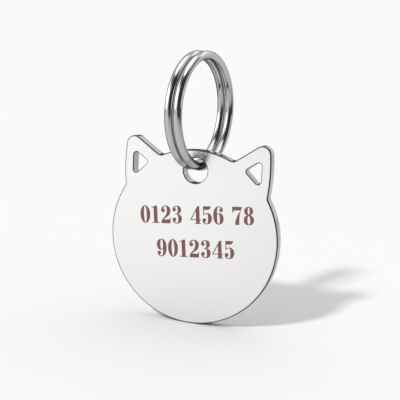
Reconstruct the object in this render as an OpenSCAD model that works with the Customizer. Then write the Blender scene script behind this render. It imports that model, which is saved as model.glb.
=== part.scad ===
// Pet identity tag: a cat-head plate that hangs from a two-turn split ring.
// Millimetres, +Z up, +X to the right. The lettered face looks along -Y.
// The origin is where the collar bears: the top of the split ring's eye.

/* [Tag plate] */
// Diameter of the round head
head_d = 30; // [26:0.5:38]
// Thickness of the plate
plate_t = 2.2; // [1.2:0.1:2.8]
// Diameter of the hole that the split ring passes through
hole_d = 4.3; // [4.1:0.1:5.5]
// Width of metal left between that hole and the top of the head
hole_web = 1.35; // [1:0.05:3]
// Radius of the fillets where the ears run into the head
notch_r = 1; // [0.4:0.1:1.6]

/* [Ears] */
// How far in from the widest part of the head an ear's outer side stands
ear_inset = 2; // [1.6:0.1:2.6]
// How far an ear's tip rises above the top of the head
ear_rise = 1.55; // [0.8:0.05:2.5]
// Radius of the rounded tip of an ear
ear_tip_r = 1.45; // [1:0.05:1.9]
// Radius of the gentle bulge of an ear's outer side
ear_side_r = 30; // [22:1:60]
// How far below its tip an ear is widest
ear_wide_drop = 4.55; // [3.5:0.05:5.5]
// Slope of an ear's inner side in degrees
ear_slope = 34.5; // [28:0.5:40]

/* [Ear cut-outs] */
// Width of the rim between a cut-out and the ear's outer side
cut_rim = 1.6; // [1:0.1:2]
// Distance from the tip of the ear down to the top of the cut-out
cut_drop = 2.8; // [2.2:0.1:3.4]
// Height of the cut-out
cut_tall = 3.5; // [2.4:0.1:4.2]
// Width of the cut-out
cut_wide = 2.55; // [1.8:0.05:3]
// How far the inner corner of the cut-out sits below its top
cut_peak = 1.55; // [1.1:0.05:1.8]
// Radius of the corners of the cut-out
cut_r = 0.5; // [0.2:0.05:0.6]

/* [Split ring] */
// Outer diameter of the split ring
ring_d = 19.8; // [16:0.2:28]
// Diameter of the round wire
wire_d = 1.4; // [1:0.05:1.5]
// Clear gap between the two turns of the wire
turn_gap = 0.43; // [0.42:0.01:0.6]
// Part of a turn, in degrees, over which the wire crosses from one turn to the other
jog_span = 26; // [22:1:50]
// Where the crossing starts, in degrees from the bottom of the ring towards the back
jog_start = 9; // [0:1:320]
// Turn of the ring away from square to the plate, in degrees
ring_turn = 8; // [0:1:12]
// Clearance between the wire and the hole that hangs on it
hang_gap = 0.1; // [0.05:0.01:0.2]

/* [Hidden] */

// Facets of the meshed preview. The exact solids keep true arcs.
head_facets = 180;
side_facets = 360;
small_facets = 48;
turn_facets = 90;
wire_facets = 32;
jog_steps = 18;
// Step in degrees between the points at which the wire's gap is measured
gap_step = 2;
// The crossing's tube is this much slimmer than the turns and runs on inside
// each of them for this many degrees, so that the three fuse into one wire
jog_slim = 0.012;
jog_seat = 2.5;

steel = [0.80, 0.80, 0.81];
wire_steel = [0.66, 0.66, 0.68];

// Split ring: its two turns lie side by side along the ring's own axis.
wire_r = wire_d / 2;
ring_m = ring_d / 2 - wire_r;
pitch = wire_d + turn_gap;
ring_z = -(ring_m - wire_r);
jog_end = jog_start + jog_span;
turn_sweep = 360 - jog_span;
jog_r = wire_r - jog_slim;

// Head and hole. The hole's top hangs on the lowest part of the wire. There the
// wire is reckoned at the plate's faces, where the turned ring reaches widest.
head_r = head_d / 2;
hole_r = hole_d / 2;
plate_y = (plate_t / 2 + pitch / 2 * sin(ring_turn)) / cos(ring_turn);
wire_reach = pitch / 2 * cos(ring_turn) + plate_y * sin(ring_turn);
wire_sag = ring_m - sqrt(ring_m * ring_m - plate_y * plate_y);
wire_free = hole_r - wire_r - hang_gap;
wire_lift = sqrt(wire_free * wire_free - wire_reach * wire_reach) - wire_sag;
hole_up = head_r - hole_web - hole_r;
head_z = ring_z - ring_m - wire_lift - hole_up;

// Right ear, seen from the front with the centre of the head at zero.
ear_x = head_r - ear_inset;
ear_top = head_r + ear_rise;
side_c = [ear_x - ear_side_r, ear_top - ear_wide_drop];
tip_z = ear_top - ear_tip_r;
tip_arm = ear_side_r - ear_tip_r;
tip_rise = tip_z - side_c[1];
tip_c = [side_c[0] + sqrt(tip_arm * tip_arm - tip_rise * tip_rise), tip_z];
slope_dir = [cos(ear_slope), sin(ear_slope)];
slope_out = [-sin(ear_slope), cos(ear_slope)];
slope_off = slope_out * tip_c + ear_tip_r;

// The point where a circle round zero meets one round c, on the lower right.
function meet(r, c, rc) =
    let (d = norm(c), a = (r * r - rc * rc + d * d) / (2 * d), h = sqrt(r * r - a * a))
    c / d * a + [c[1], -c[0]] / d * h;

// The point on the ear's inner line, moved out by f, at distance r from zero.
function on_slope(r, f) =
    slope_out * (slope_off + f) + slope_dir * sqrt(r * r - (slope_off + f) * (slope_off + f));

// Where the ear's two sides meet the head, and the centres of their fillets.
inner_root = on_slope(head_r, 0);
outer_root = meet(head_r, side_c, ear_side_r);
inner_fillet = on_slope(head_r + notch_r, notch_r);
outer_fillet = meet(head_r + notch_r, side_c, ear_side_r + notch_r);

// Centres of the three rounded corners of an ear's cut-out.
cut_x = ear_x - cut_rim - cut_r;
cut_top = ear_top - cut_drop;
cut_corners = [
    [cut_x, cut_top - cut_r],
    [cut_x + 2 * cut_r - cut_wide, cut_top - cut_peak],
    [cut_x, cut_top - cut_tall + cut_r]
];

function unit(v) = v / norm(v);

// A convex outline, its corners given anticlockwise, grown by r with true arcs.
module rounded(corners, r) {
    polygon(corners);
    for (i = [0 : len(corners) - 1]) {
        a = corners[i];
        b = corners[(i + 1) % len(corners)];
        along = unit(b - a);
        out = [along[1], -along[0]] * r;
        polygon([a, b, b + out, a + out]);
        translate(a) circle(r, $fn = small_facets);
    }
}

module right_ear() {
    intersection() {
        translate(side_c) circle(ear_side_r, $fn = side_facets);
        polygon([
            [inner_root[0], side_c[1] - head_r / 2],
            [head_r, side_c[1] - head_r / 2],
            [head_r, tip_c[1] + (head_r - tip_c[0]) * tip_rise / (tip_c[0] - side_c[0])],
            tip_c,
            tip_c + slope_out * ear_tip_r,
            inner_root
        ]);
    }
    translate(tip_c) circle(ear_tip_r, $fn = small_facets);
    // Metal that fills the two notches at the ear's roots, out to the fillets' centres.
    polygon([inner_fillet, inner_fillet * head_r / (head_r + notch_r), root_in(inner_root),
        inner_fillet - slope_out * notch_r]);
    polygon([outer_fillet, outer_fillet - unit(outer_fillet - side_c) * notch_r,
        root_in(outer_root), outer_fillet * head_r / (head_r + notch_r)]);
}

// A point inside the head, a fillet's radius in from an ear's root.
function root_in(root) = root * (head_r - notch_r) / head_r;

// What is cut away at the right ear: the round fillets and the cut-out.
module right_cuts() {
    translate(inner_fillet) circle(notch_r, $fn = small_facets);
    translate(outer_fillet) circle(notch_r, $fn = small_facets);
    rounded(cut_corners, cut_r);
}

module head_outline() {
    difference() {
        union() {
            circle(head_r, $fn = head_facets);
            right_ear();
            mirror([1, 0]) right_ear();
        }
        translate([0, hole_up]) circle(hole_r, $fn = small_facets);
        right_cuts();
        mirror([1, 0]) right_cuts();
    }
}

module tag_plate() {
    color(steel)
        translate([0, 0, head_z])
            rotate([90, 0, 0])
                linear_extrude(plate_t, center = true)
                    head_outline();
}

// The wire's centre line: angle a runs from the bottom of the ring to the back,
// and s is the place across the two turns.
function wire_point(a, s) = [ring_m * cos(a), ring_m * sin(a), s];
function ease(t) = let (u = max(0, min(1, t))) u * u * (3 - 2 * u);
function ease_rate(t) = let (u = max(0, min(1, t))) 6 * u * (1 - u);

// One round section of the crossing, square to its path. The part t of the
// crossing is under 0 or over 1 where the tube runs on inside a turn.
function jog_section(t) =
    let (
        a = jog_start + jog_span * t,
        lean = atan2(pitch * ease_rate(t), ring_m * jog_span * PI / 180),
        out = [cos(a), sin(a), 0],
        side = [sin(a) * sin(lean), -cos(a) * sin(lean), cos(lean)]
    )
    [for (k = [0 : wire_facets - 1])
        wire_point(a, pitch * (ease(t) - 0.5))
            + jog_r * (out * cos(360 * k / wire_facets) + side * sin(360 * k / wire_facets))];

// The crossing: a tube swept through those sections and closed at both ends.
module jog() {
    n = wire_facets;
    last = jog_steps * n;
    seat = jog_seat / jog_span;
    points = [for (i = [0 : jog_steps]) each jog_section(i / jog_steps * (1 + 2 * seat) - seat)];
    walls = [for (i = [0 : jog_steps - 1]) for (k = [0 : n - 1])
        let (p = i * n + k, q = i * n + (k + 1) % n)
        each [[p, q, q + n], [p, q + n, p + n]]];
    start_face = [for (k = [0 : n - 1]) n - 1 - k];
    end_face = [for (k = [0 : n - 1]) last + k];
    polyhedron(points, concat(walls, [start_face], [end_face]), convexity = 4);
}

// One turn of the wire, cut square at its free end.
module turn(s) {
    rotate([0, 0, jog_end])
        rotate_extrude(angle = turn_sweep, $fn = turn_facets)
            translate([ring_m, s]) circle(wire_r, $fn = wire_facets);
}

module split_ring() {
    color(wire_steel)
        translate([0, 0, ring_z])
            rotate([0, 0, -ring_turn])
                rotate([0, 90, 0]) {
                    turn(-pitch / 2);
                    jog();
                    turn(pitch / 2);
                }
}

// The wire's least gap to itself, measured between points of its centre line
// that lie more than a quarter turn apart along the wire.
turn_a = [for (a = [jog_end : gap_step : jog_start + 360]) [a, -pitch / 2]];
cross = [for (t = [0 : 1 / jog_span : 1]) [jog_start + 360 + jog_span * t, pitch * (ease(t) - 0.5)]];
turn_b = [for (a = [jog_end : gap_step : jog_start + 360]) [a + 360, pitch / 2]];
route = concat(turn_a, cross, turn_b);
gaps = [for (p = route) for (q = route) if (q[0] - p[0] > 90)
    norm(wire_point(q[0], q[1]) - wire_point(p[0], p[1])) - wire_d];
echo(least_gap_of_the_wire_to_itself = min(gaps));

tag_plate();
split_ring();
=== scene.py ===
# %% [markdown]
# # A pet identity tag on its split ring
# The real object is a flat metal disc with two cat ears, stamped from sheet about
# two millimetres thick and polished, and a split ring of round wire that goes
# through a hole near its top edge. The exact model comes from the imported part.
# It is loaded first, and everything that is made here is built around it, in
# metres, so that each new piece lies just where the exact one is.

# %% Load the exact model
import math

import bpy
from mathutils import Matrix, Vector


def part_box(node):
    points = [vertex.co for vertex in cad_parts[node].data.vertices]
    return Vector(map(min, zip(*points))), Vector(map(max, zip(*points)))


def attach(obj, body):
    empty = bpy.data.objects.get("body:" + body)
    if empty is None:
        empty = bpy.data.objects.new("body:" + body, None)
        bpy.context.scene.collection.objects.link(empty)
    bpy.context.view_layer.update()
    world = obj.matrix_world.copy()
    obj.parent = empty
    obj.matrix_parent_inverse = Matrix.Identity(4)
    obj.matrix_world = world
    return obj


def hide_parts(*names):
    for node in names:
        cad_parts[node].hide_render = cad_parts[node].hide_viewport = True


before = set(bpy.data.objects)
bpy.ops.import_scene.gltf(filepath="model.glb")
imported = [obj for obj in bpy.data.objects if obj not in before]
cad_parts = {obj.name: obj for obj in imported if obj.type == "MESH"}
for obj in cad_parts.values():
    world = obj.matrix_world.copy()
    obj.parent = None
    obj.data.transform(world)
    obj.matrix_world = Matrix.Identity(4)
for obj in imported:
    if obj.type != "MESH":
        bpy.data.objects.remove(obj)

scene = bpy.context.scene
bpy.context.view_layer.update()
MM = 0.001
for name in ("tag_plate", "split_ring"):
    low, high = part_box(name)
    print(name, "in mm", [round(v / MM, 2) for v in low], [round(v / MM, 2) for v in high])

# %% [markdown]
# A few places come up again and again: the middle of the round head, the two
# faces of the plate, the middle of the ring and the line that it was wound
# around. They are read off the exact model's boxes where that is possible, so
# that they can't drift away from it. The ring stands turned by eight degrees.

# %% Places that the pieces share
UP = Vector((0, 0, 1))
plate_low, plate_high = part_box("tag_plate")
ring_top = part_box("split_ring")[1].z
head_r = 15 * MM
wire_r = 0.7 * MM
ring_r = 9.2 * MM  # measured to the middle of the wire
face_y = plate_low.y
back_y = plate_high.y
floor_z = plate_low.z
head_mid = Vector((0, 0, floor_z + head_r))
ring_mid = Vector((0, 0, ring_top - ring_r - wire_r))
ring_turn = math.radians(8)
ring_line = Vector((math.cos(ring_turn), -math.sin(ring_turn), 0))
ring_back = Vector((math.sin(ring_turn), math.cos(ring_turn), 0))
print("middle of the head", [round(v / MM, 2) for v in head_mid])
print("middle of the ring", [round(v / MM, 2) for v in ring_mid])

# %% [markdown]
# ## The camera
# The photographer stood a little to the right of the tag and slightly above it.
# A camera can be aimed by eye, but here its place was worked out from the
# picture's own proportions: the round head shows as an oval, the ring as a
# narrow one, and only one place and lens give both at once. It is placed by an
# angle around the head, a height angle and a distance. Then it is turned aside
# and up by a few degrees, and tipped a little, so that the tag sits in the frame
# as it does in the picture.

# %% Camera place
CAMERA_AROUND, CAMERA_ABOVE, CAMERA_FAR = 20.09, 12.17, 127.53  # degrees, degrees, mm
TURN_ASIDE, TURN_UP, TIP = (math.radians(angle) for angle in (0.48, 2.92, 3.25))


def heading(around, above):
    """The direction from the object to a place that far round it and above it, in degrees."""
    a, e = math.radians(around), math.radians(above)
    return Vector((math.sin(a) * math.cos(e), -math.cos(a) * math.cos(e), math.sin(e)))


def upright(look):
    """The directions to the right and up for someone who looks that way with a level head."""
    side = look.cross(UP).normalized()
    return side, side.cross(look)


out = heading(CAMERA_AROUND, CAMERA_ABOVE)
place = Vector((0, face_y, head_mid.z)) + out * CAMERA_FAR * MM
side, rise = upright(-out)
look = (-out + side * math.tan(TURN_ASIDE) + rise * math.tan(TURN_UP)).normalized()
side, rise = upright(look)
right = side * math.cos(TIP) + rise * math.sin(TIP)
top = rise * math.cos(TIP) - side * math.sin(TIP)
print("camera at", [round(v / MM, 1) for v in place], "mm")

# %% Camera
bpy.ops.object.camera_add(location=place)
camera = bpy.context.object
camera.name = "camera"
camera.rotation_euler = Matrix((right, top, -look)).transposed().to_euler()
camera.data.lens = 67.5
camera.data.sensor_width = 36
camera.data.clip_start = 0.005
camera.data.clip_end = 200
scene.camera = camera
print("camera lens", camera.data.lens, "mm")

# %% [markdown]
# ## Materials and light are made of nodes
# A material or a sky is a small network: each node takes a few numbers in and
# gives one out. Such a network can be clicked together in the editor. In a script
# it reads best with one short function for each kind of step: a ramp, a blend, a
# sum, and a soft band that is one inside its limits and zero outside.


# %% Helpers for nodes
def add_node(tree, kind, values=None, **settings):
    """A node of that kind. Values are numbers for its inputs, or outputs to join to them."""
    made = tree.nodes.new("ShaderNode" + kind)
    for key, value in settings.items():
        setattr(made, key, value)
    for key, value in (values or {}).items():
        if isinstance(value, bpy.types.NodeSocket):
            tree.links.new(value, made.inputs[key])
        else:
            made.inputs[key].default_value = value
    return made


def ramp(tree, value, start, end, low, high, **settings):
    """Goes from low to high while value goes from start to end, and stays there."""
    ends = {0: value, 1: start, 2: end, 3: low, 4: high}
    return add_node(tree, "MapRange", ends, **settings).outputs[0]


def blend(tree, share, first, second):
    """The first number where share is 0, the second where it is 1."""
    return add_node(tree, "Mix", {0: share, 2: first, 3: second}).outputs[0]


def combine(tree, operation, first, second):
    """Two numbers put together, as by MULTIPLY or MAXIMUM."""
    return add_node(tree, "Math", {0: first, 1: second}, operation=operation).outputs[0]


def smooth_band(tree, value, start, end, soft):
    """1 where value lies between start and end, easing to 0 over soft outside them."""
    eased = {"interpolation_type": "SMOOTHSTEP"}
    rising = ramp(tree, value, start - soft, start, 0, 1, **eased)
    falling = ramp(tree, value, end, end + soft, 1, 0, **eased)
    return combine(tree, "MULTIPLY", rising, falling)


def angle_band(tree, value, start, end, soft):
    """The same soft band for an angle, with its limits in degrees."""
    return smooth_band(tree, value, *(math.radians(angle) for angle in (start, end, soft)))


def angle_round(tree, vector):
    """The angle round the object at which a vector points, 0 at the front, plus to the right."""
    parts = add_node(tree, "SeparateXYZ", {0: vector}).outputs
    return combine(tree, "ARCTAN2", parts["X"], combine(tree, "MULTIPLY", parts["Y"], -1))


# %% [markdown]
# ## The studio that the metal mirrors
# Polished metal shows whatever stands around it, so a photographer puts windows
# and black boards where nobody sees them but the metal. They could be built as
# lit and dark panels. Patches on the world's wall do the same and can't get in
# the way of anything. To the left stands a bright window that fades towards the
# horizon, far behind on the right a second one, and the ceiling is bright too.
# A dark beam crosses high in front. Dark walls stand to the right and behind on
# the left, and a smaller card hangs behind on the right. They give the ring its
# dark lines and the walls of the plate their depth.

# %% Zones of the world
world = bpy.data.worlds.new("studio")
scene.world = world
world.use_nodes = True
sky = world.node_tree
sky.nodes.clear()
direction = add_node(sky, "TexCoord").outputs["Generated"]
bearing = angle_round(sky, direction)
height = add_node(sky, "SeparateXYZ", {0: direction}).outputs["Z"]


def zone(around_from, around_to, high_from, high_to, soft_around, soft_high):
    """A patch of the world's wall, by degrees round the object and by height from -1 to 1."""
    across = angle_band(sky, bearing, around_from, around_to, soft_around)
    upright_band = smooth_band(sky, height, high_from, high_to, soft_high)
    return combine(sky, "MULTIPLY", across, upright_band)


window = zone(-95, -28, 0.0, 0.5, 8, 0.1)
ceiling = smooth_band(sky, height, 0.93, 2.0, 0.08)
beam = zone(-75, 20, 0.72, 0.86, 15, 0.06)
right_wall = zone(2, 84, -0.2, 0.8, 8, 0.12)
high_card = zone(90, 128, 0.28, 0.6, 8, 0.08)
left_wall = zone(-166, -104, -0.2, 0.42, 6, 0.08)
far_window = combine(sky, "MAXIMUM", zone(140, 181, -0.2, 0.66, 10, 0.1),
                     zone(-181, -174, -0.2, 0.66, 6, 0.1))  # it runs across 180 degrees
print("nodes of the zones:", len(sky.nodes))

# %% Tones of the zones
WALL_TONE = 0.95
window_tone = ramp(sky, height, 0, 0.22, 1.4, 2.6)
far_tone = combine(sky, "ADD", ramp(sky, height, 0.1, 0.28, 1.15, 1),
                   ramp(sky, height, 0.34, 0.65, 0, 1))
studio_tone = WALL_TONE
for patch, tone in ((window, window_tone), (far_window, far_tone), (ceiling, 2.2), (beam, 0.25),
                    (right_wall, 0.05), (high_card, 0.2), (left_wall, 0.12)):
    studio_tone = blend(sky, patch, studio_tone, tone)
print("world nodes so far:", len(sky.nodes))

# %% [markdown]
# ## Fill light and backdrop
# Matt things, the paper and the colour of the print, see none of that. They get a
# plain fill light that grows from almost nothing at the horizon to full strength
# overhead, as in a room lit from its ceiling. It could be even all round, but then
# the paper right in front of the plate would lose its soft shade. Whatever the
# camera sees beyond the paper has the paper's own tone, so that no horizon shows.
# One world can do all three, because a node tells what kind of ray asks: one from
# the camera, one that metal has mirrored, or another.

# %% World
BACKDROP_TONE = 0.952
FILL_LOW, FILL_TOP = 0.05, 1.025
FILL_FROM = heading(180, 80)
upward = add_node(sky, "VectorMath", {0: direction, 1: FILL_FROM}, operation="DOT_PRODUCT")
fill = ramp(sky, upward.outputs["Value"], 0.1, 1, FILL_LOW, FILL_TOP)
path = add_node(sky, "LightPath").outputs
plain = blend(sky, path["Is Camera Ray"], fill, BACKDROP_TONE)
straight = combine(sky, "LESS_THAN", path["Diffuse Depth"], 0.5)
mirrored = combine(sky, "MULTIPLY", path["Is Glossy Ray"], straight)
seen = blend(sky, mirrored, plain, studio_tone)
glow = add_node(sky, "Background", {"Color": (1, 1, 1, 1), "Strength": seen})
add_node(sky, "OutputWorld", {"Surface": glow.outputs[0]})
print("world nodes:", len(sky.nodes))

# %% [markdown]
# ## The key lamp
# One lamp, high in front and a little to the left, throws the tag's shadow back
# and to the right. A sun lamp is chosen because its light is the same all over
# the paper and leaves one clean shadow. It is some degrees wide, which softens
# the shadow with distance, and it is hidden from reflections, where the window
# takes its place.

# %% Key lamp
lamp_way = heading(-21.5, 40)
lamp_far = 0.3  # a sun lamp shines alike from any distance
bpy.ops.object.light_add(type="SUN", location=head_mid + lamp_way * lamp_far)
key = bpy.context.object
key.name = "key_lamp"
key.rotation_euler = lamp_way.to_track_quat("Z", "Y").to_euler()
key.data.energy = 1.8
key.data.angle = math.radians(6.5)
key.visible_glossy = False
print("key lamp", key.data.energy)

# %% [markdown]
# ## The paper
# The tag stands on seamless white paper, which is one very large plane. The
# camera looks slightly down, so what it sees mirrored in the plate's upright face
# is the paper in front of it. A photographer would lay cards on the paper there.
# To the camera and to the light the paper here is even, but in reflections alone
# its colour carries such cards, painted in: dark ones to the right and behind on
# the left, which are painted dark reflections in the metal, and a gentle rise and
# fall of tone with distance, which is painted shading of the face.

# %% Floor
PAPER_TONE = 0.933
FLOOR_SIZE = 60
FLOOR_GAP = 0.01 * MM
bpy.ops.mesh.primitive_plane_add(size=FLOOR_SIZE, location=(0, 0, floor_z - FLOOR_GAP))
floor = bpy.context.object
floor.name = "paper"
paper = bpy.data.materials.new("paper")
paper.use_nodes = True
sheet = paper.node_tree
cover = sheet.nodes["Principled BSDF"]
cover.inputs["Roughness"].default_value = 1
cover.inputs["Specular IOR Level"].default_value = 0
floor.data.materials.append(paper)
scene.view_settings.view_transform = "Standard"
print("floor at", round(floor_z / MM, 2), "mm")

# %% Tone of the paper
spot = add_node(sheet, "TexCoord").outputs["Object"]
paper_bearing = angle_round(sheet, spot)
away = add_node(sheet, "VectorMath", {0: spot}, operation="LENGTH").outputs["Value"]


def card(around_from, around_to, soft, near, far):
    """1 on a card painted on the paper for reflections only, by degrees round and metres away."""
    across = angle_band(sheet, paper_bearing, around_from, around_to, soft)
    return combine(sheet, "MULTIPLY", across, ramp(sheet, away, near, far, 0, 1))


# The cards and the pale ramp are painted into the paper's colour for mirrored rays only: painted
# dark reflections in the metal and painted shading of the plate's face.
CARD_TONE = 0.07
FAINT_SHARE = 0.18
painted_dark_cards = combine(sheet, "MAXIMUM", card(14, 110, 14, 0.02, 0.26), card(-165, -98, 10, 0.015, 0.07))
painted_faint_card = combine(sheet, "MULTIPLY", card(25, 110, 50, 0, 0.08), FAINT_SHARE)
pale = combine(sheet, "MINIMUM", ramp(sheet, away, 0.01, 0.2, 0.9, 0.99),
               ramp(sheet, away, 0.2, 0.5, 0.99, 0.84))
mirror_tone = blend(sheet, combine(sheet, "MAXIMUM", painted_dark_cards, painted_faint_card), pale, CARD_TONE)
in_mirror = add_node(sheet, "LightPath").outputs["Is Glossy Ray"]
tone = blend(sheet, in_mirror, PAPER_TONE, mirror_tone)
sheet.links.new(tone, cover.inputs["Base Color"])
print("paper nodes:", len(sheet.nodes))

# %% [markdown]
# ## The tag plate
# The plate is one flat piece of steel. Its outline, the hole for the ring and the
# two ear openings are already exact in the CAD model, so the piece starts as a
# copy of that mesh. It could be drawn anew, but a copy can't be off. It arrives as
# loose triangles, so its points are merged and its flat faces joined up.


# %% Helpers for modelling
def choose(piece):
    """The piece alone, selected and active in object mode."""
    if bpy.context.object and bpy.context.object.mode != "OBJECT":
        bpy.ops.object.mode_set(mode="OBJECT")
    bpy.ops.object.select_all(action="DESELECT")
    piece.select_set(True)
    bpy.context.view_layer.objects.active = piece


def open_mesh(piece, kind="FACE"):
    """The piece alone, in edit mode, with nothing selected on it."""
    choose(piece)
    bpy.ops.object.mode_set(mode="EDIT")
    bpy.ops.mesh.select_mode(type=kind)
    bpy.ops.mesh.select_all(action="DESELECT")


def close_mesh():
    """Back to object mode, where the mesh holds what was done."""
    bpy.ops.object.mode_set(mode="OBJECT")


def merge_points(piece, within):
    """Opens the piece's mesh and merges its points that lie that close together."""
    open_mesh(piece)
    bpy.ops.mesh.select_all(action="SELECT")
    bpy.ops.mesh.remove_doubles(threshold=within)


def pick(piece, part, test):
    """Selects the faces or edges of the piece in edit mode that pass the test."""
    bpy.ops.object.mode_set(mode="OBJECT")
    found = 0
    for one in getattr(piece.data, part):
        one.select = bool(test(one))
        found += one.select
    bpy.ops.object.mode_set(mode="EDIT")
    return found


def count(piece):
    """How many points and faces the piece has, as a line to print."""
    mesh = piece.data
    return f"{piece.name}: {len(mesh.vertices)} points, {len(mesh.polygons)} faces"


# %% Plate, copied and merged
plate = bpy.data.objects.new("plate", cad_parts["tag_plate"].data.copy())
scene.collection.objects.link(plate)
plate.data.name = "plate"
plate.data.materials.clear()
merge_points(plate, 0.002 * MM)
bpy.ops.mesh.customdata_custom_splitnormals_clear()
bpy.ops.mesh.dissolve_limited(angle_limit=math.radians(0.4))
close_mesh()
print(count(plate))

# %% [markdown]
# ## The plate's rims
# What the exact model lacks is the soft edge that tumbling and polishing leave.
# That thin round edge draws a line along the whole outline, and without it the
# plate would look like cut card. A Bevel modifier would round every edge alike.
# Here the rims are found by their place and bevelled in edit mode, because those
# of the ring's hole and of the ear openings are a little sharper than the
# outline's.

# %% Which rim is which
EDGE_ON = 0.05  # a wall's normal points this little along the plate's thickness, or less
ON_FACE = 0.001 * MM
hole_z = head_mid.z + 11.5 * MM
hole_reach = 2.3 * MM  # a little more than the hole's radius
opening_x = (8.6 * MM, 11.7 * MM)  # each ear opening lies between these, on its own side
opening_z = (head_mid.z + 10 * MM, head_mid.z + 14 * MM)


def inside_opening(spot):
    """True for a place on the rim of the ring's hole or of an ear opening."""
    at_hole = math.hypot(spot.x, spot.z - hole_z) < hole_reach
    at_ear = opening_x[0] < abs(spot.x) < opening_x[1] and opening_z[0] < spot.z < opening_z[1]
    return at_hole or at_ear


def round_rim(inner, radius):
    """Rounds the rim on both faces: of the hole and the ear openings, or of the outline."""
    walls = set()
    keys = {edge.key: edge.index for edge in plate.data.edges}
    for face in plate.data.polygons:
        if abs(face.normal.y) < EDGE_ON:
            walls.update(keys[key] for key in face.edge_keys)

    def on_rim(edge):
        a, b = (plate.data.vertices[v].co for v in edge.vertices)
        flat = any(abs(a.y - y) < ON_FACE and abs(b.y - y) < ON_FACE for y in (face_y, back_y))
        return flat and edge.index in walls and inside_opening((a + b) / 2) == inner

    open_mesh(plate, "EDGE")
    found = pick(plate, "edges", on_rim)
    bpy.ops.mesh.bevel(offset=radius, segments=4, profile=0.5, affect="EDGES", clamp_overlap=False)
    close_mesh()
    return found


# %% Plate, rounded edges
OUTLINE_ROUND = 0.2 * MM
OPENING_ROUND = 0.14 * MM
print("outline edges", round_rim(False, OUTLINE_ROUND))
print("opening edges", round_rim(True, OPENING_ROUND))
print(count(plate))

# %% Plate, shading
SMOOTH_UP_TO = math.radians(40)
choose(plate)
bpy.ops.object.shade_smooth_by_angle(angle=SMOOTH_UP_TO)
bpy.ops.object.modifier_add(type="WEIGHTED_NORMAL")
plate.modifiers[-1].keep_sharp = True
plate.modifiers[-1].weight = 100
bpy.ops.object.modifier_apply(modifier=plate.modifiers[-1].name)
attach(plate, "tag")
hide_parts("tag_plate")
print(count(plate))

# %% [markdown]
# ## The split ring
# A split ring is a single length of round spring wire, wound twice, whose two
# turns lie side by side. It leaves one turn and crosses to the other in a short
# slope, and its two cut ends face that slope. A ring could be spun from a circle,
# but the crossing would pinch. A wire is one line with a round section, so it is
# drawn as a curve with a bevel depth, which keeps the section round everywhere.
# The turns of the real ring touch. Here they lie a fifth of a millimetre apart,
# so that no two walls of the mesh touch.

# %% Ring line
TURN_STEP = 1.6 * MM
CROSS_FROM, CROSS_TO = 9, 35  # degrees from the bottom of the ring towards its back
CROSS_SPAN = CROSS_TO - CROSS_FROM


def wire_place(degrees, shift):
    """A point of the wire's line, by degrees from the bottom towards the back."""
    a = math.radians(degrees)
    return ring_mid + ring_r * (math.sin(a) * ring_back - math.cos(a) * UP) + shift * ring_line


def ease(t):
    """From 0 to 1 with a slow start and a slow end."""
    return t * t * (3 - 2 * t)


first_turn = [wire_place(angle, -TURN_STEP / 2) for angle in range(CROSS_TO, 360 + CROSS_FROM)]
slope = [wire_place(CROSS_FROM + i, TURN_STEP * (ease(i / CROSS_SPAN) - 0.5))
         for i in range(CROSS_SPAN + 1)]
second_turn = [wire_place(angle, TURN_STEP / 2) for angle in range(CROSS_TO + 1, 361 + CROSS_FROM)]
line = first_turn + slope + second_turn
print("points along the wire", len(line))

# %% Ring curve
bpy.ops.curve.primitive_nurbs_path_add()
ring = bpy.context.object
ring.name = "ring"
ring.matrix_world = Matrix.Identity(4)
ring.data.splines.clear()
spline = ring.data.splines.new("POLY")
spline.points.add(len(line) - 1)
for point, spot in zip(spline.points, line):
    point.co = (*spot, 1)
ring.data.dimensions = "3D"
ring.data.bevel_depth = wire_r
ring.data.bevel_resolution = 24
ring.data.use_fill_caps = True
ring.data.twist_mode = "MINIMUM"
print("wire", round(2 * ring.data.bevel_depth / MM, 2), "mm thick")

# %% [markdown]
# The curve is turned into a mesh. It closes its two ends with fans of triangles,
# so those are joined into one round face each, and the rim of that face is
# bevelled, as the cutter and the tumbling leave it.

# %% Ring mesh
END_ROUND = 0.1 * MM
choose(ring)
bpy.ops.object.convert(target="MESH")
merge_points(ring, 0.001 * MM)
bpy.ops.mesh.normals_make_consistent(inside=False)
bpy.ops.mesh.select_all(action="DESELECT")
cap_faces = pick(ring, "polygons", lambda face: len(face.vertices) == 3)
bpy.ops.mesh.dissolve_faces()
close_mesh()
ends = sum(face.select for face in ring.data.polygons)
bpy.ops.object.mode_set(mode="EDIT")  # the two joined ends are still selected
bpy.ops.mesh.bevel(offset=END_ROUND, segments=3, affect="EDGES")
choose(ring)
bpy.ops.object.shade_smooth_by_angle(angle=SMOOTH_UP_TO)
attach(ring, "ring")
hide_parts("split_ring")
print("cap triangles", cap_faces, "cut ends", ends)
print(count(ring))

# %% [markdown]
# ## The two lines of numbers
# The face carries two short printed lines. Here they are plain numbers in a bold
# upright style with thick stems and thin joins. A text object would take its
# shapes from a font, and the one that comes with the program has no such style.
# So each figure is drawn as a flat outline of smooth curves on a grid of a
# thousand units, as a letter cutter would do it: M starts a loop, L draws a
# straight line to a point, and C a curve by two handles and a point. A 9 is a 6
# after half a turn.

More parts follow.
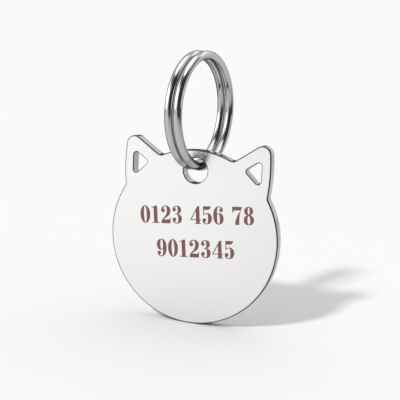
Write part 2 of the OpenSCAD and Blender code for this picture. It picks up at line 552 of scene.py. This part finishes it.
# %% Outlines of the figures
FIGURES = {
    "0": """M300,1010 C465,1010 600,790 600,500 C600,210 465,-10 300,-10 C135,-10 0,210 0,500
        C0,790 135,1010 300,1010
        M300,965 C350,965 385,800 385,500 C385,200 350,35 300,35 C250,35 215,200 215,500
        C215,800 250,965 300,965""",
    "1": """M360,1000 L360,45 L480,45 L480,0 L20,0 L20,45 L140,45 L140,880 L10,880 L10,925
        C100,925 180,950 225,1000""",
    "2": """M15,0 L560,0 L590,310 L545,310 C530,240 500,215 440,215 L170,215
        C240,290 340,340 430,410 C540,495 590,600 590,745 C590,905 470,1010 300,1010
        C140,1010 25,910 25,755 C25,680 75,625 140,625 C205,625 250,670 250,730
        C250,790 210,830 150,835 C170,915 230,965 290,965 C350,965 375,880 375,750
        C375,600 330,500 240,400 C150,300 15,180 15,60""",
    "3": """M290,1010 C450,1010 550,925 550,775 C550,650 470,575 350,540 C490,520 580,420 580,280
        C580,100 460,-10 290,-10 C130,-10 20,80 20,215 C20,285 70,330 130,330
        C190,330 235,290 235,230 C235,170 195,130 140,125 C165,65 220,35 285,35
        C345,35 365,120 365,275 C365,430 335,515 250,520 L190,520 L190,560 L250,560
        C320,565 345,640 345,780 C345,900 330,965 280,965 C225,965 175,930 150,880
        C205,875 240,835 240,780 C240,720 195,680 140,680 C80,680 35,725 35,790
        C35,920 140,1010 290,1010""",
    "4": """M545,1000 L545,262 L610,262 L610,215 L545,215 L545,45 L610,45 L610,0 L265,0 L265,45
        L335,45 L335,215 L0,215 L0,262 L430,1000
        M60,262 L335,262 L335,735""",
    "5": """M75,1000 L530,1000 C500,850 420,800 300,800 L120,800 L120,560 C165,610 225,635 300,635
        C470,635 570,500 570,325 C570,120 450,-10 270,-10 C110,-10 15,80 15,210
        C15,280 65,325 125,325 C185,325 230,285 230,225 C230,165 190,125 135,120
        C160,65 210,35 265,35 C330,35 350,130 350,320 C350,510 330,590 270,590
        C205,590 150,555 115,500 L75,500""",
    "6": """M320,1010 C130,1010 0,800 0,480 C0,160 120,-10 300,-10 C470,-10 590,120 590,320
        C590,510 490,635 350,635 C285,635 240,610 213,565 C215,830 245,965 330,965
        C380,965 425,940 445,895 C390,888 355,850 355,795 C355,735 400,693 455,693
        C515,693 560,738 560,800 C560,925 460,1010 320,1010
        M300,590 C355,590 375,500 375,315 C375,120 355,35 297,35 C235,35 213,130 213,320
        C213,500 240,590 300,590""",
    "7": """M10,1000 L560,1000 L560,950 C440,700 390,420 390,0 L155,0 C165,290 310,580 490,800
        L150,800 C95,800 70,760 55,680 L10,680""",
    "8": """M290,1010 C440,1010 540,915 540,770 C540,660 480,585 380,545 C510,500 580,405 580,270
        C580,100 460,-10 290,-10 C120,-10 0,95 0,255 C0,405 75,500 195,542
        C100,580 40,660 40,760 C40,905 140,1010 290,1010
        M290,965 C335,965 350,880 350,770 C350,660 335,605 290,575 C245,605 230,660 230,765
        C230,880 245,965 290,965
        M290,508 C345,480 370,400 370,265 C370,110 345,35 290,35 C235,35 210,110 210,260
        C210,395 235,475 290,508""",
}
GRID_TALL = 1000
WIDTHS = {"0": 600, "1": 490, "2": 600, "3": 590, "4": 610, "5": 575, "6": 590, "7": 565,
          "8": 580, "9": 590, " ": 330}
print("figures drawn:", len(FIGURES))


# %% Reading an outline
def half_turn(spot):
    """Where a point of the 6 lies in the 9. A missing handle stays missing."""
    return spot and (WIDTHS["6"] - spot[0], GRID_TALL - spot[1])


def outline(figure):
    """The closed loops of a figure: lists of (left handle, point, right handle) on the grid."""
    turned = figure == "9"
    loops = []
    for token in FIGURES["6" if turned else figure].split():
        spot = tuple(float(v) for v in token.lstrip("MLC").split(","))
        if token[0] == "M":
            loops.append([[None, spot, None]])
            waiting = []
        elif token[0] == "L":
            loops[-1].append([None, spot, None])
        else:
            waiting.append(spot)
            if len(waiting) == 3:
                loops[-1][-1][2] = waiting[0]
                loops[-1].append([waiting[1], waiting[2], None])
                waiting = []
    for loop in loops:
        if len(loop) > 1 and loop[0][1] == loop[-1][1]:
            loop[0][0] = loop.pop()[0]
    if turned:
        loops = [[[half_turn(spot) for spot in knot] for knot in loop] for loop in loops]
    return loops


print("loops of each figure:", {figure: len(outline(figure)) for figure in "0123456789"})

# %% [markdown]
# The outlines of a line are laid out side by side in one flat curve, which fills
# them and leaves their counters open. The curve gets a thickness of a few
# hundredths of a millimetre, so that the print stands on the metal as enamel
# does. A picture on the metal would be simpler, but up close its edge would blur.


# %% One figure on a curve
def draw_figure(curve, figure, x, grid):
    """Adds the figure's loops to a flat curve, its left side at x."""
    for loop in outline(figure):
        spline = curve.splines.new("BEZIER")
        spline.bezier_points.add(len(loop) - 1)
        spline.use_cyclic_u = True
        for knot, (before, here, after) in zip(spline.bezier_points, loop):
            knot.handle_left_type = knot.handle_right_type = "FREE"
            knot.handle_left, knot.co, knot.handle_right = (
                Vector((x + v[0] * grid, (v[1] - GRID_TALL / 2) * grid, 0))
                for v in (before or here, here, after or here))


# %% One line as a mesh
PRINT_TALL = 3.03 * MM
PRINT_THICK = 0.05 * MM
PRINT_PROUD = 0.03 * MM  # the rest of the thickness sits in the metal, so that no gap shows
PRINT_TILT = math.radians(5.5)
print_y = face_y + PRINT_THICK / 2 - PRINT_PROUD


def print_line(name, text, long, across, up):
    """A line of figures on the plate's face, by its length and its middle from the head's."""
    grid = PRINT_TALL / GRID_TALL
    natural = sum(WIDTHS[c] for c in text) * grid
    gap = (long - natural) / (len(text) - 1)
    bpy.ops.curve.primitive_bezier_circle_add()
    made = bpy.context.object
    made.name = name
    made.data.splines.clear()
    made.data.dimensions = "2D"
    made.data.fill_mode = "BOTH"
    made.data.resolution_u = 6
    made.data.extrude = PRINT_THICK / 2
    x = -long / 2
    for figure in text:
        if figure != " ":
            draw_figure(made.data, figure, x, grid)
        x += WIDTHS[figure] * grid + gap
    choose(made)
    bpy.ops.object.convert(target="MESH")
    middle = Vector((across, print_y, head_mid.z + up))
    made.matrix_world = (Matrix.Translation(middle) @ Matrix.Rotation(-PRINT_TILT, 4, "Y")
                         @ Matrix.Rotation(math.radians(90), 4, "X"))
    bpy.ops.object.transform_apply(location=True, rotation=True, scale=True)
    merge_points(made, 0.0005 * MM)
    bpy.ops.mesh.normals_make_consistent(inside=False)
    close_mesh()
    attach(made, "tag")
    print(count(made))
    return made


# %% Both lines
upper = print_line("upper_numbers", "0123 456 78", 20.4 * MM, across=0.5 * MM, up=4.0 * MM)
lower = print_line("lower_numbers", "9012345", 14 * MM, across=0.7 * MM, up=-1.8 * MM)

# %% [markdown]
# ## Metal finishes
# The plate is polished to a bright, slightly soft shine. Close up it isn't a
# perfect mirror: a fine haze of polishing marks spreads the reflections, and the
# haze varies a little from place to place. An even roughness would look like
# plastic film, so a cloudy pattern steers it. The stamped walls get a darker grey
# than the faces and the rounded rims a near black, which is painted shade: each
# rim then shows as a thin dark line. The wire is a nickel-coloured spring steel,
# polished sharper than the plate.


# %% Helpers for finishes
def vary(tree, coords, scale, low, high):
    """A number that wanders between low and high over the surface, in patches of that scale."""
    cloud = add_node(tree, "TexNoise", {"Vector": coords, "Scale": scale, "Detail": 4})
    return ramp(tree, cloud.outputs[0], 0.3, 0.7, low, high)


def new_metal(piece, name, grey, haze_scale, haze_low, haze_high, edge_tint=1):
    """Gives the piece one more metal, polished with a haze. A low tint darkens slanting views."""
    made = bpy.data.materials.new(name)
    made.use_nodes = True
    tree = made.node_tree
    coat = tree.nodes["Principled BSDF"]
    coat.inputs["Base Color"].default_value = (*grey, 1)
    coat.inputs["Metallic"].default_value = 1
    coat.inputs["Specular Tint"].default_value = (edge_tint, edge_tint, edge_tint, 1)
    spot = add_node(tree, "TexCoord").outputs["Object"]
    haze = vary(tree, spot, haze_scale, haze_low, haze_high)
    tree.links.new(haze, coat.inputs["Roughness"])
    piece.data.materials.append(made)
    return tree, spot, coat


# %% Plate metals
FACE_ON = 0.999  # a face of the plate looks this squarely along its thickness, or more
tree, spot, coat = new_metal(plate, "polished_steel", (0.922, 0.917, 0.909), 260, 0.22, 0.27)
marks = add_node(tree, "TexNoise", {"Vector": spot, "Scale": 9000, "Detail": 2}).outputs[0]
bump = add_node(tree, "Bump", {"Height": marks, "Strength": 0.02, "Distance": 0.02 * MM})
tree.links.new(bump.outputs[0], coat.inputs["Normal"])
# The walls' darker grey and the rims' near black are painted shade, not the steel's own colour;
# they draw the dark lines along the plate's edges.
new_metal(plate, "cut_edge_painted_shade", (0.33, 0.328, 0.325), 900, 0.07, 0.16)
new_metal(plate, "rim_painted_dark_line", (0.1, 0.099, 0.098), 700, 0.24, 0.38, edge_tint=0.3)
for face in plate.data.polygons:
    slant = abs(face.normal.y)
    face.material_index = 0 if slant > FACE_ON else 1 if slant < EDGE_ON else 2
print("metals on the plate:", [metal.name for metal in plate.data.materials])

# %% Wire metal
new_metal(ring, "wire_nickel", (0.535, 0.531, 0.525), 400, 0.05, 0.11, edge_tint=0.4)
print("metal on the ring:", ring.data.materials[0].name)

# %% [markdown]
# ## Print colour
# The print is a matt rose-brown enamel. A flat colour would do from afar. Here two
# shades of it, close together, are mixed by a fine cloud, and its shine varies as
# a thin coat's does where it lies thicker or thinner.


# %% Print colour
def from_srgb(red, green, blue):
    """A colour read off a screen, 0 to 255, as the renderer's own linear numbers."""
    def linear(v):
        v = v / 255
        return v / 12.92 if v < 0.04045 else ((v + 0.055) / 1.055) ** 2.4
    return (linear(red), linear(green), linear(blue), 1)


enamel = bpy.data.materials.new("rose_brown_enamel")
enamel.use_nodes = True
tree = enamel.node_tree
coat = tree.nodes["Principled BSDF"]
spot = add_node(tree, "TexCoord").outputs["Object"]
cloud = add_node(tree, "TexNoise", {"Vector": spot, "Scale": 1500, "Detail": 3}).outputs[0]
shades = {0: cloud, 6: from_srgb(113, 73, 77), 7: from_srgb(127, 84, 88)}
mixed = add_node(tree, "Mix", shades, data_type="RGBA").outputs[2]
tree.links.new(mixed, coat.inputs["Base Color"])
tree.links.new(vary(tree, spot, 1200, 0.42, 0.55), coat.inputs["Roughness"])
for piece in (upper, lower):
    piece.data.materials.clear()
    piece.data.materials.append(enamel)
print("print colour on", upper.name, "and", lower.name)

# %% Finish
bpy.context.view_layer.update()
